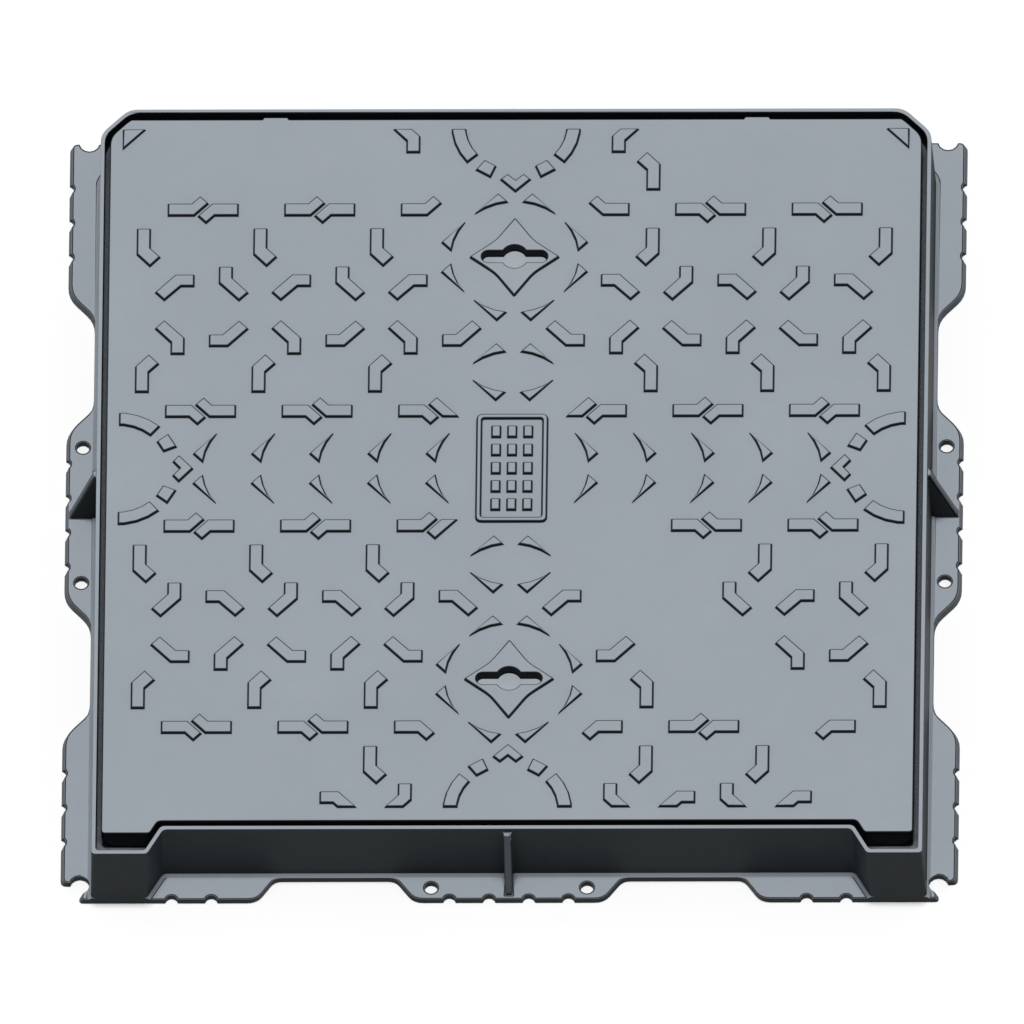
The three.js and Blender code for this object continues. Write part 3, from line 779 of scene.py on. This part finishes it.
def shutter_spring(side):
    """A coil whose end turns lie flat."""
    node = f"shutter_spring_{side}"
    x, y, low, high = centre(node)
    mean = (high.x - low.x) / 2 - WIRE_R
    rise = high.z - low.z - 2 * WIRE_R
    total = round((SPRING_TURNS + 1) * WIRE_STEPS)
    dead = WIRE_STEPS // 2     # a flat half turn at each end
    bm = bmesh.new()
    rings = []
    for i in range(total + 1):
        share = min(max((i - dead) / (total - 2 * dead), 0.0), 1.0)
        smooth = share * share * (3 - 2 * share)
        climbed = smooth * SPRING_CROWDING + share * (1 - SPRING_CROWDING)
        angle = 2 * math.pi * i / WIRE_STEPS
        out = Vector((math.cos(angle), math.sin(angle), 0))
        middle = Vector((x, y, low.z + WIRE_R + rise * climbed)) + out * mean
        turns = (2 * math.pi * k / WIRE_SIDES for k in range(WIRE_SIDES))
        rings.append(ring_of(bm, [
            middle + out * (WIRE_R * math.cos(t)) + Vector((0, 0, WIRE_R * math.sin(t))) for t in turns
        ]))
    for lower, upper in zip(rings, rings[1:]):
        skin(bm, lower, upper)
    bm.faces.new(rings[0])
    bm.faces.new(rings[-1])
    piece = object_from(bm, f"{node}_coil", STEEL, "cover")
    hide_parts(node)
    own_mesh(piece)


SCREW_SIDES = 24
SHANK_R = 3 * MM
HEAD_H = 4 * MM
SOCKET_R = 2.3 * MM
SOCKET_DEPTH = 2.2 * MM


def pot_screw(node):
    """Pan head with a hexagon socket, head down."""
    x, y, low, high = centre(node)
    head = (high.y - low.y) / 2
    under = low.z + HEAD_H
    soft = 0.6 * MM
    bm = bmesh.new()
    rings = turned(bm, (
        (head - 2.5 * soft, low.z), (head - soft, low.z + 0.4 * soft), (head, low.z + 2 * soft),
        (head, under - 0.3 * soft), (head - 0.3 * soft, under), (SHANK_R, under),
        (SHANK_R, high.z - soft), (SHANK_R - soft, high.z), (0, high.z),
    ), x, y, SCREW_SIDES)
    hexagons = [ring_of(bm, round_points(x, y, z, SOCKET_R, 6)) for z in (low.z, low.z + SOCKET_DEPTH)]
    skin(bm, *hexagons)
    bm.faces.new(hexagons[1])
    mouth, hexagon = rings[0], hexagons[0]
    per_side = SCREW_SIDES // 6
    for i, (here, onward) in enumerate(following(mouth)):
        k = i // per_side
        bm.faces.new((here, onward, hexagon[k]))
        if (i + 1) % per_side == 0:
            bm.faces.new((onward, hexagon[(k + 1) % 6], hexagon[k]))
    piece = object_from(bm, f"{node}_turned", STEEL, "cover")
    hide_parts(node)


# ---- Elastomer strips: ridged along the top, mitred at the ends ----
STRIP_WIDTH = 18 * MM
STRIP_GAP = 0.3 * MM           # taken off each end
STRIP_RIDGES = 4
GROOVE_DEPTH = 0.8 * MM
STEPS_PER_RIDGE = 4
STRIP_SHARP = math.radians(60)


def seat_strip(side, quarter_turns):
    node = f"seat_strip_{side}"
    low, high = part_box(node)
    outer = max(abs(low.x), abs(high.x), abs(low.y), abs(high.y))
    inner = outer - STRIP_WIDTH
    section = [(inner, low.z), (outer, low.z)]
    for i in range(STRIP_RIDGES * STEPS_PER_RIDGE + 1):
        share = i / (STRIP_RIDGES * STEPS_PER_RIDGE)
        down = GROOVE_DEPTH * (1 + math.cos(2 * math.pi * STRIP_RIDGES * share)) / 2
        section.append((outer + (inner - outer) * share, high.z - down))
    bm = bmesh.new()
    turn = Matrix.Rotation(quarter_turns * math.pi / 2, 3, "Z")
    ends = [
        ring_of(bm, [turn @ Vector((way * (d - STRIP_GAP), -d, z)) for d, z in section])
        for way in (-1, 1)
    ]
    skin(bm, *ends)
    for end in ends:
        bm.faces.new(end)
    piece = object_from(bm, f"{node}_profile", RUBBER, "frame", STRIP_SHARP)
    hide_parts(node)


# ---- The pieces ----
IRON = cast_iron()
RUBBER = elastomer()
POT_PLASTIC = moulded("pot_plastic", rgb(44, 47, 50), rgb(58, 61, 64))
SHUTTER_PLASTIC = moulded("shutter_plastic", rgb(142, 150, 157), rgb(156, 163, 169))
STEEL = steel()

cover()
frame_surface()
for quarter, strip in enumerate(("front", "right", "rear", "left")):
    seat_strip(strip, quarter)
for side in ("front", "rear"):
    key_pot(side)
    pot_seal(side)
    key_shutter(side)
    shutter_spring(side)
    for number in range(1, 5):
        pot_screw(f"pot_screw_{side}_{number}")


# ---- Studio ----
FLOOR_SIZE = 12.0
FLOOR_DROP = 0.5 * MM          # below the flange's underside
DAYLIGHT = 0.24
SUN_ENERGY = 2.95
SUN_ANGLE = math.radians(8)


def studio():
    """A pale floor under even daylight, with a soft sun straight overhead."""
    bpy.context.scene.view_settings.view_transform = "Standard"
    bpy.ops.mesh.primitive_plane_add(size=FLOOR_SIZE, location=(0, 0, -FLOOR_DROP))
    floor = bpy.context.object
    floor.name = "floor"
    pale = Shader("floor_pale", 0.9)
    tone = pale.mix(pale.noise(3.0), (0.88, 0.88, 0.88, 1), (0.9, 0.9, 0.9, 1))
    floor.data.materials.append(pale.finish(tone))
    world = bpy.data.worlds.new("studio")
    world.use_nodes = True
    background = world.node_tree.nodes["Background"]
    background.inputs["Color"].default_value = (1, 1, 1, 1)
    background.inputs["Strength"].default_value = DAYLIGHT
    bpy.context.scene.world = world
    overhead = bpy.data.lights.new("overhead", "SUN")
    overhead.energy = SUN_ENERGY
    overhead.angle = SUN_ANGLE
    lamp = bpy.data.objects.new("overhead", overhead)
    lamp.location = (0, 0, 3)
    bpy.context.scene.collection.objects.link(lamp)


ELEVATION, AZIMUTH, ROLL = 60.0, 3.0, 2.7   # degrees
VIEW_WIDTH = 1.024
LOOKED_AT = (0.8 * MM, -50 * MM, PLATE_TOP)
STANDOFF = 4.0


def camera():
    """A parallel view from above, a little to the right of the front, and turned a little in itself."""
    elevation, azimuth, roll = (math.radians(angle) for angle in (ELEVATION, AZIMUTH, ROLL))
    back = Vector((
        math.sin(azimuth) * math.cos(elevation), -math.cos(azimuth) * math.cos(elevation),
        math.sin(elevation),
    ))
    right = Vector((math.cos(azimuth), math.sin(azimuth), 0))
    up = back.cross(right)
    rolled_right = right * math.cos(roll) - up * math.sin(roll)
    rolled_up = right * math.sin(roll) + up * math.cos(roll)
    data = bpy.data.cameras.new("camera")
    data.type = "ORTHO"
    data.ortho_scale = VIEW_WIDTH
    data.clip_end = 20
    eye = bpy.data.objects.new("camera", data)
    turn = Matrix((rolled_right, rolled_up, back)).transposed().to_4x4()
    eye.matrix_world = Matrix.Translation(Vector(LOOKED_AT) + back * STANDOFF) @ turn
    bpy.context.scene.collection.objects.link(eye)
    bpy.context.scene.camera = eye


studio()
camera()
